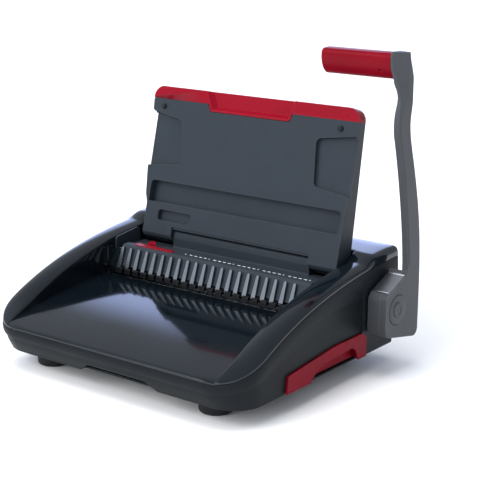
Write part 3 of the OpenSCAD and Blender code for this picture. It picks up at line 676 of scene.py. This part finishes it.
def rear_grids():
    """The rear deck with its rolled back edge, and the trough in front of it."""
    corner = [BACK - CORNER_BACK * (1 - math.sin(math.radians(a))) for a in range(0, 91, 10)]
    rows = []
    for y in [DECK_EDGE + v for v in (0, 0.2, 0.5, 1, 1.8, 3, 5, 10, 18, 28, 38)] + corner:
        left, right = wing_points(y, -1), wing_points(y, 1)
        x0, x1 = left[-1][0], right[-1][0]
        across = [x0 + (x1 - x0) * k / 20 for k in range(1, 20)]
        rows.append(tucked(left) + [(x, y, cover_z(x, y)) for x in across] + tucked(right)[::-1])
    edge = [p for p in rows[0] if WELL_LEFT - 0.01 <= p[0] <= WELL_RIGHT + 0.01]
    rows += [
        [(x, y, z - RIM_DROP) for x, y, z in rows[-1]],
        [(x, y - TUCK_IN, z - TUCK_DOWN) for x, y, z in rows[-1]],
    ]
    trough = [[(x, y, z + (TROUGH_Z - z) * k / 4) for x, y, z in edge] for k in range(5)]
    trough += [[(x, y, TROUGH_Z) for x, _, _ in edge] for y in (78, 70, TROUGH_FRONT)]
    trough += [[(x, TROUGH_FRONT, TROUGH_Z - 2.5) for x, _, _ in edge]]
    return [rows, trough]


def make_cover():
    """The gloss cover, as grids of points that meet at shared edges, thickened inwards."""
    points, faces = [], []
    for rows in front_grids() + [wing_grid(-1), wing_grid(1)] + rear_grids():
        faces += grid_faces(len(rows), len(rows[0]), len(points))
        points += [p for row in rows for p in row]
    cover = new_piece("cover", points, faces)
    smooth_faces(cover, 40)
    enter(cover, "root", "gloss_black", "top_cover")
    thick = cover.modifiers.new("thick", "SOLIDIFY")
    thick.thickness = 1.8 * MM
    thick.offset = -1


def outline_path():
    """Points round the plan outline with their inward normals, counter-clockwise from the back left."""
    path = []

    def corner(cx, cy, r, start, steps):
        for i in range(steps + 1):
            a = math.radians(start + 90 * i / steps)
            path.append((cx + r * math.cos(a), cy + r * math.sin(a), -math.cos(a), -math.sin(a)))

    rf, rb = CORNER_FRONT, CORNER_BACK
    sides = [BACK - rb - 6 - 8 * i for i in range(34)]
    sides = [y for y in sides if abs(y - PANEL_BACK) > 3]
    sides = sorted(sides + [PANEL_BACK - 0.6, PANEL_BACK + 0.6])
    corner(LEFT + rb, BACK - rb, rb, 90, 8)
    path += [(LEFT, y, 1, 0) for y in reversed(sides)]
    corner(LEFT + rf, FRONT + rf, rf, 180, 20)
    path += [(LEFT + rf + (RIGHT - LEFT - 2 * rf) * i / 24, FRONT, 0, 1) for i in range(1, 24)]
    corner(RIGHT - rf, FRONT + rf, rf, 270, 20)
    path += [(RIGHT, y, -1, 0) for y in sides]
    corner(RIGHT - rb, BACK - rb, rb, 0, 8)
    path += [(RIGHT - rb - (RIGHT - LEFT - 2 * rb) * i / 24, BACK, 0, -1) for i in range(1, 24)]
    return path


def lean_in(nx, ny):
    """How far the lower wall leans in, by the way it faces: more at the front and left."""
    return (6 * nx if nx > 0 else -1.6 * nx) * abs(nx) + (8 * ny if ny > 0 else -1.6 * ny) * abs(ny)


def wall_profile(y, lean):
    """Section of the housing wall at a depth, as (inset, z), round the whole section: the rim, the
    hollow upper wall, the crease, the lower wall that leans in, the skirt's foot and the inside."""
    rim = along(RIM, y)
    crease = along(CREASE, y) if y < PANEL_BACK else PANEL_LOW
    high, low = rim - 3.5, crease + 1.2
    points = [(5.6, rim - 3.6), (1.4, rim - 2.5), (0.7, rim - 2.5), (0.2, rim - 2.8), (0, high)]
    for t in [k / 8 for k in range(1, 8)]:
        points.append((-1.1 * math.sin(math.pi * t) ** 0.7, high + (low - high) * t))
    points += [(0, low), (0.15, crease + 0.5), (0.6, crease), (1.4, crease - 0.3), (2.6, crease - 0.5),
               (3.0, crease - 1.1)]
    for t in [k / 5 for k in range(1, 5)]:
        points.append((3.0 + lean * t ** 1.6, crease - 1.1 + (SKIRT + 1.6 - crease + 1.1) * t))
    foot = 3 + lean
    points += [(foot, SKIRT + 1.6), (foot + 0.3, SKIRT + 0.6), (foot + 1, SKIRT), (foot + 2.8, SKIRT),
               (foot + 2.8, SKIRT + 6), (4.8 + lean / 2, (SKIRT + crease) / 2), (5.8, crease + 1)]
    return points


HAND_GAP = (-46, 82)


def make_housing():
    """The charcoal wall round the machine, with the drawer's opening, the hand gap and the hub's hole."""
    points, faces = [], []
    path = outline_path()
    for x, y, nx, ny in path:
        points += [(x + nx * d, y + ny * d, z) for d, z in wall_profile(y, lean_in(nx, ny))]
    columns = len(points) // len(path)
    for i in range(len(path)):
        j = (i + 1) % len(path)
        for k in range(columns):
            m = (k + 1) % columns
            faces.append((i * columns + k, i * columns + m, j * columns + m, j * columns + k))
    housing = new_piece("housing", points, faces)
    drawer = rounded([(-108, 15), (-105, 47), (-6, 57), (58, 57), (67, 51), (67, 15)], [0, 4, 4, 5, 5, 0])
    cut(housing, *prism(drawer, RIGHT - 14, RIGHT + 4, "x"))
    start, end = HAND_GAP
    arch = [(start, SKIRT - 1), (start + 18, 34.5), (end - 16, 34.5), (end, SKIRT - 1)]
    cut(housing, *prism(rounded(arch, [0, 5, 5, 0]), FRONT - 4, FRONT + 19, "y"))
    cut(housing, *prism(circle(88, 86, 11), RIGHT - 14, RIGHT + 4, "x"))
    smooth_faces(housing, 42)
    enter(housing, "root", "charcoal_plastic", "lower_housing")


def make_base():
    """The bottom plate, which follows the housing's tapered foot and clears the front hand gap."""
    low, high, top = [], [], []
    for x, y, nx, ny in outline_path():
        d = 6 + lean_in(nx, ny)
        low.append((x + nx * (d + 1), y + ny * (d + 1), 22))
        high.append((x + nx * d, y + ny * d, 22.8))
        top.append((x + nx * d, y + ny * d, 24.4))
    n = len(low)
    faces = [tuple(range(n))[::-1], tuple(range(2 * n, 3 * n))] + ring_faces(n) + ring_faces(n, n)
    base = new_piece("base", low + high + top, faces)
    start, end = HAND_GAP
    plan = [(start, FRONT - 5), (end, FRONT - 5), (end, FRONT + 22), (start, FRONT + 22)]
    cut(base, *prism(plan, 18, 28, "z"))
    enter(base, "root", "charcoal_plastic", "base_plate")


# ---------------------------------------------------------------- punch deck

def make_infill():
    """Dark panels that close both ends of the punch deck's sloping front."""
    section = [(-9.5, 87), (-9.5, 98), (-7.0, 99.2), (0.4, 117.0), (2.6, 118.6), (14.5, 120.1),
               (14.5, 118.3), (3.4, 117.0), (-5.2, 98), (-7.7, 87)]
    section = rounded(section, [0.5, 1, 1, 1.5, 1.5, 0.5, 0.5, 1, 1, 0.5], 3)
    for name, x0, x1 in (
        ("infill_left", WELL_LEFT - 0.6, -149.6), ("infill_right", 163.3, WELL_RIGHT + 0.6),
    ):
        panel = new_piece(name, *prism(section, x0, x1, "x"))
        smooth_faces(panel, 30)
        enter(panel, "root", "gloss_black")


def make_deck():
    """Sloping front, ridge and hinge block over the punches, with both lid notches cut away."""
    outer = [(-8, 98.5), (2.5, 124), (5, 126), (16, 126), (17.2, 120.2), (53, 118.7), (53, 132), (54.5, 139),
             (58, 141), (62, 140)]
    inner = [(62, 116), (50, 116), (15, 117.4), (13.6, 123.3), (5, 123.3), (-5, 98.5)]
    section = rounded(outer + inner, [0.6, 2.5, 2.5, 1.6, 1.5, 2.5, 4, 4, 4, 1, 1, 1, 1, 1, 1, 0.6], 4)
    deck = new_piece("deck", *prism(section, -147.8, 163, "x"))
    notch = [(40, 118.75), (40, 160), (70, 160), (70, 118.75)]
    for x0, x1 in ((-163, -100), (126, 180)):
        cut(deck, *prism(notch, x0, x1, "x"))
    smooth_faces(deck, 32)
    enter(deck, "root", "lid_grey", "punch_deck")
    soften(deck, 0.5, segments=2, angle=40)


def make_deck_ends():
    """The deck's floor beyond its ridge at both ends, and the cheek beside the left one."""
    floor_line = [(16.8, 117.5), (16.8, 120), (53, 118.6), (62, 118.5), (62, 116), (50, 116)]
    cheek = [(2.6, 117), (3.4, 131), (6, 133.8), (46, 139.3), (51, 138), (53, 134), (53, 117)]
    cheek = rounded(cheek, [0.5, 2, 2, 2, 3, 3, 0.5], 3)
    for name, section, x0, x1 in (
        ("deck_end_left", floor_line, -162.6, -148.5), ("deck_end_right", floor_line, 163.1, 172.4),
        ("deck_cheek", cheek, -162.5, -160.3),
    ):
        end = new_piece(name, *prism(section, x0, x1, "x"))
        smooth_faces(end, 35)
        enter(end, "root", "lid_grey")
        soften(end, 0.5, segments=2, angle=40)


# ---------------------------------------------------------------- lid, drawn upright about its pin

LID_LEAN = 14.0
PIN = (57.7, 136.0)
LID_FACE = -9.5
LID_EDGE = 170.5
APRON_LOW = -2.6
TRIM_LOW, TRIM_TOP, TRIM_RADIUS = 183.0, 200.0, 16.0
LID_LEFT = [(-152, 0), (-152, 38), (-156, 49), (-160, 86), (-160, 163), (-165, 167), (-166, TRIM_LOW - 0.4)]
LID_RIGHT = [(LID_EDGE, TRIM_LOW - 0.4), (LID_EDGE, 0)]


def lid_point(x, y, z):
    """A point of the lid drawn upright about its pin, as a point of the open lid, in machine mm."""
    a = math.radians(LID_LEAN)
    return x, PIN[0] + y * math.cos(a) + z * math.sin(a), PIN[1] - y * math.sin(a) + z * math.cos(a)


def lid_prism(outline, y0, y1, draft=0.0):
    """A prism through the lid from depth y0 to y1 of an [x, z] outline; its far end shrinks by draft."""
    n = len(outline)
    cx, cz = sum(p[0] for p in outline) / n, sum(p[1] for p in outline) / n
    far = []
    for x, z in outline:
        away = math.hypot(x - cx, z - cz) or 1
        far.append((x - (x - cx) / away * draft, z - (z - cz) / away * draft))
    points = [lid_point(x, y0, z) for x, z in outline] + [lid_point(x, y1, z) for x, z in far]
    return points, solid_faces(n)


def shrink(outline, amount, low=0.0):
    """A lid outline moved in at its sides, and cut off below."""
    return [(x + amount if x < 0 else x - amount, max(z, low)) for x, z in outline]


def make_lid_panel():
    """The lid's inner panel with rounded wells, cut from a slab."""
    front = [(-101.3, 9.8), (-101.3, APRON_LOW), (-151.6, APRON_LOW)]
    front += shrink(LID_LEFT[1:] + LID_RIGHT[:1], 0.2)
    front += [(LID_EDGE - 0.2, APRON_LOW), (127.3, APRON_LOW), (127.3, 9.8)]
    front = rounded(front, [0.5, 2, 2, 8, 8, 8, 2.5, 3, 1, 1, 2, 2, 0.5], 4)
    panel = new_piece("lid_face", *lid_prism(front, LID_FACE, LID_FACE + 2.4))
    join(panel, *lid_prism(shrink(LID_LEFT + LID_RIGHT, 2.9, 12.5), LID_FACE + 2.2, LID_FACE + 7.6))
    groove_back = [(-149.5, 37.5), (-149.5, 72.5), (166.5, 72.5), (166.5, 37.5)]
    join(panel, *lid_prism(groove_back, LID_FACE + 2.2, 2.6))
    wells = (
        ([(-149, 40), (166, 40), (166, 70), (-149, 70)], (1.5, 7, 7, 7), 11, 0.3),
        ([(-129, 15.5), (-71, 15.5), (-71, 31), (-129, 31)], 5, 7, 1.0),
        ([(-180, 168), (-111, 156.5), (-100, 104), (-103, 95), (-180, 87)], (0, 8, 9, 6, 0), 6, 1.2),
        ([(190, 168), (114, 157), (111, 152), (117, 99), (120, 95), (190, 86)], (0, 5, 6, 6, 5, 0), 6, 1.2),
    )
    for outline, radius, depth, draft in wells:
        cut(panel, *lid_prism(rounded(outline, radius, 5), LID_FACE - 1, LID_FACE + depth, draft))
    bay = [(-72, TRIM_LOW + 1), (-64.8, 172.2), (66.3, 172.2), (70, TRIM_LOW + 1)]
    cut(panel, *lid_prism(rounded(bay, [0, 4.5, 4.5, 0], 4), -20, 20))
    smooth_faces(panel, 32)
    enter(panel, "lid", "lid_grey", "lid_panel")
    soften(panel, 0.7, segments=3, angle=38)


def make_lid_trim():
    """The red top rail with its finger scoop, whose lower wall slopes to face up."""
    high = TRIM_TOP - TRIM_RADIUS
    bar = [(-166, TRIM_LOW), (LID_EDGE, TRIM_LOW)]
    bar += arc(LID_EDGE - TRIM_RADIUS, high, TRIM_RADIUS, 0, 90, 10)
    bar += arc(TRIM_RADIUS - 166, high, TRIM_RADIUS, 90, 180, 10)
    rail = new_piece("lid_rail", *lid_prism(bar, LID_FACE - 0.5, 5.5))
    handle = rounded([(-80, 199), (-64, 173), (65.5, 173), (73, 199)], [0, 4, 4, 0], 4)
    join(rail, *lid_prism(handle, LID_FACE - 0.5, -1))
    near = [(-76.5, 202), (-62.5, 175), (64, 175), (71, 202)]
    far = [(-69, 202), (-57, 180.5), (59.5, 180.5), (65, 202)]
    scoop = [lid_point(x, LID_FACE - 0.6, z) for x, z in near] + [lid_point(x, -3, z) for x, z in far]
    cut(rail, scoop, solid_faces(len(near)))
    smooth_faces(rail, 32)
    enter(rail, "lid", "red_plastic", "lid_trim")
    soften(rail, 0.8, segments=3, angle=34)


# ---------------------------------------------------------------- hub, lever arm and grip

ARM_LEFT, ARM_RIGHT = 228.0, 238.0
GRIP_LEFT, GRIP_RIGHT = 118.0, 218.0
# [height, depth] lines of the arm's front and back
ARM_FRONT = curve((140, 112), (200, 108), (280, 88), (305, 80), 24)
ARM_FRONT += curve((305, 80), (335, 73), (345, 88), (358, 87), 12)[1:]
ARM_FRONT += [(370, 86), (376, 85), (384, 83.4), (392, 82.3), (400, 82.2), (404, 82.8), (408, 84.5)]
ARM_BACK = curve((60, 140.5), (150, 141), (190, 140), (275, 113), 24)
ARM_BACK += curve((275, 113), (322, 97), (325, 103), (345, 106), 12)[1:]
# The elbow by height: its inner side, the width and depth of its turned face, and its outer and inner back
ELBOW_LEFT = [(345, 228), (352, 227.2), (360, 225.6), (364, 223.6), (369, 221.7), (376, 221), (384, 218.8),
              (392, 218), (404, 218), (408, 218.6)]
ELBOW_TURN = [(290, 2), (325, 2.6), (345, 5), (357, 8), (368, 10.5), (376, 12.5), (385, 16), (397, 18.3),
              (408, 17.5)]
ELBOW_SIDE = [(290, 2), (325, 2.2), (345, 4), (357, 6.4), (368, 8.4), (376, 9.8), (385, 11.7), (397, 13),
              (408, 10.5)]
ELBOW_BACK = ARM_BACK + [(376, 106), (388, 102), (397, 98), (408, 95.8)]
ELBOW_HEEL = ARM_BACK + [(376, 106.5), (392, 107), (402, 105.5), (408, 103)]


def lathe(profile, centre, steps=64):
    """Turns [x, radius] points about an axis along X through a centre given as (y, z)."""
    points = [(x, y, z) for x, r in profile for y, z in circle(*centre, r, steps)]
    faces = [face for k in range(len(profile) - 1) for face in ring_faces(steps, k * steps)]
    faces.append(tuple(range(steps))[::-1])
    faces.append(tuple(range((len(profile) - 1) * steps, len(profile) * steps)))
    return points, faces


def make_hub_cap():
    """The round cap, with a groove round a raised ring and a domed middle."""
    face = HUB_OUT - 1.4
    profile = [
        (HUB_IN, 19), (face - 0.35, 19), (face - 0.1, 18.85), (face, 18.5), (face, 11.6), (face - 0.5, 11.3),
        (face - 0.5, 10.4), (face + 0.9, 10.2), (face + 1.25, 9.8), (face + 1.4, 9.2), (face + 1.4, 6.6),
        (face + 1.25, 6.2), (face + 0.9, 5.9), (face + 0.8, 5.2), (face + 0.95, 4), (face + 1.0, 2),
        (face + 1.0, 0.4),
    ]
    cap = new_piece("hub_disc", *lathe(profile, HUB_CENTRE))
    smooth_faces(cap, 50)
    enter(cap, "lever", "lever_metal", "hub_cap")


def make_hub_highlight_strip():
    """Bright plated strip set in the sloping facet over the hub, with a rolled lip at each end: a painted
    highlight, its light metal standing in for the light that the facet mirrors.
    """
    start, end = Vector((67.5, 110.9)), Vector((107, 126.9))
    length = (end - start).length
    way = (end - start).normalized()
    up = Vector((-way.y, way.x))
    lip = [(0, -0.4), (0, 0.8), (0.5, 1.5), (1.4, 1.8), (2.4, 1.6), (3.1, 0.95), (3.5, 0.45)]
    section = [start + way * u + up * v for u, v in lip + [(length - u, v) for u, v in reversed(lip)]]
    strip = new_piece("hub_highlight_strip", *prism(section, 212.6, 236.2, "x"))
    smooth_faces(strip, 50)
    # Painted highlight: the strip's bright plated metal stands in for the facet's reflection
    enter(strip, "lever", "plated_steel")
    soften(strip, 0.35, segments=3, angle=60)


def arm_section(z):
    """Five corners of the arm at a height: front face, turned face, outer side, back."""
    front = along(ARM_FRONT, z)
    left = along(ELBOW_LEFT, z)
    return [
        (left, front, z), (ARM_RIGHT - along(ELBOW_TURN, z), front, z),
        (ARM_RIGHT, front + along(ELBOW_SIDE, z), z), (ARM_RIGHT, along(ELBOW_BACK, z), z),
        (left, along(ELBOW_HEEL, z), z),
    ]


def make_lever_arm():
    """The arm: a flat bar that grows out of the hub plate and is cast into an elbow at the grip."""
    heights = [140, 150, 165, 180, 200, 220, 240, 255, 268, 280, 290, 298, 305, 312, 319, 326, 333, 340, 346,
               352, 357, 361, 365, 369, 373, 378, 384, 390, 395, 400, 404, 406.6, 407.6]
    points = [corner for z in heights for corner in arm_section(z)]
    sides = 5
    faces = [face for k in range(len(heights) - 1) for face in ring_faces(sides, sides * k)]
    faces.append(tuple(range(len(points) - sides, len(points))))
    hub = [(y, z) for z, y in reversed(ARM_BACK) if z < 139]
    hub += arc(131, 50, 9.5, 0, -103, 6) + arc(73, 65, 12.5, -103, -180, 6)
    hub += [(60.5, 98), (61.5, 104.5), (66, 110), (108, 127), (112, 131)]
    first, n = len(points), len(hub)
    points += [(x, y, z) for x in (ARM_LEFT, ARM_RIGHT) for y, z in hub]
    faces.append((0, 4) + tuple(range(first, first + n)))
    faces.append((2, 3) + tuple(range(first + n, first + 2 * n)))
    faces += ring_faces(n, first)[:-1]
    faces.append((4, 3, first + n, first))
    faces.append((0, 1, 2, first + 2 * n - 1, first + n - 1))
    arm = new_piece("arm", points, faces)
    cut(arm, *prism(circle(*HUB_CENTRE, 19.7), ARM_RIGHT - 1.6, ARM_RIGHT + 1, "x"))
    smooth_faces(arm, 30)
    enter(arm, "lever", "lever_metal", "lever_arm")
    soften(arm, 0.9, segments=4, angle=29)


def make_grip():
    """The hand grip: a D lying on its curved side, rounded over at its free end."""
    middle_y, middle_z = 95, 391
    section = curve((84, 404.5), (88, 406.8), (102, 406.8), (106, 404.5), 10)
    section += curve((108.5, 401.5), (110.5, 392), (105, 380), (98.5, 375.5), 12)
    section += curve((96.5, 374), (95.5, 373.4), (93.5, 373.4), (92.5, 374), 4)
    section += curve((90.5, 375.5), (84, 381), (80, 392), (82, 401.5), 12)
    rings = [(GRIP_LEFT, 0.90), (GRIP_LEFT + 0.3, 0.945), (GRIP_LEFT + 0.9, 0.975), (GRIP_LEFT + 1.8, 0.993),
             (GRIP_LEFT + 3, 1.0), (GRIP_LEFT + 25, 1.0), (GRIP_LEFT + 50, 1.0), (GRIP_RIGHT - 25, 1.0),
             (GRIP_RIGHT - 0.8, 1.0), (GRIP_RIGHT - 0.2, 0.99), (GRIP_RIGHT, 0.975)]
    points = [
        (x, middle_y + (y - middle_y) * grow, middle_z + (z - middle_z) * grow)
        for x, grow in rings for y, z in section
    ]
    n = len(section)
    last = n * (len(rings) - 1)
    faces = [tuple(range(n)), tuple(range(last + n - 1, last - 1, -1))]
    faces += [face for k in range(len(rings) - 1) for face in ring_faces(n, n * k)]
    grip = new_piece("hand_grip", points, faces)
    dimple = circle(202, 384.5, 1.5, 20)
    cut(grip, *prism(dimple, 70, 88, "y"))
    smooth_faces(grip, 45)
    enter(grip, "lever", "red_grip", "grip")


make_camera()
make_light()
make_floor()
make_cover()
make_housing()
make_base()
make_infill()
make_deck()
make_deck_ends()
make_lid_panel()
make_lid_trim()
make_hub_cap()
make_hub_highlight_strip()
make_lever_arm()
make_grip()
dress_cad_nodes()
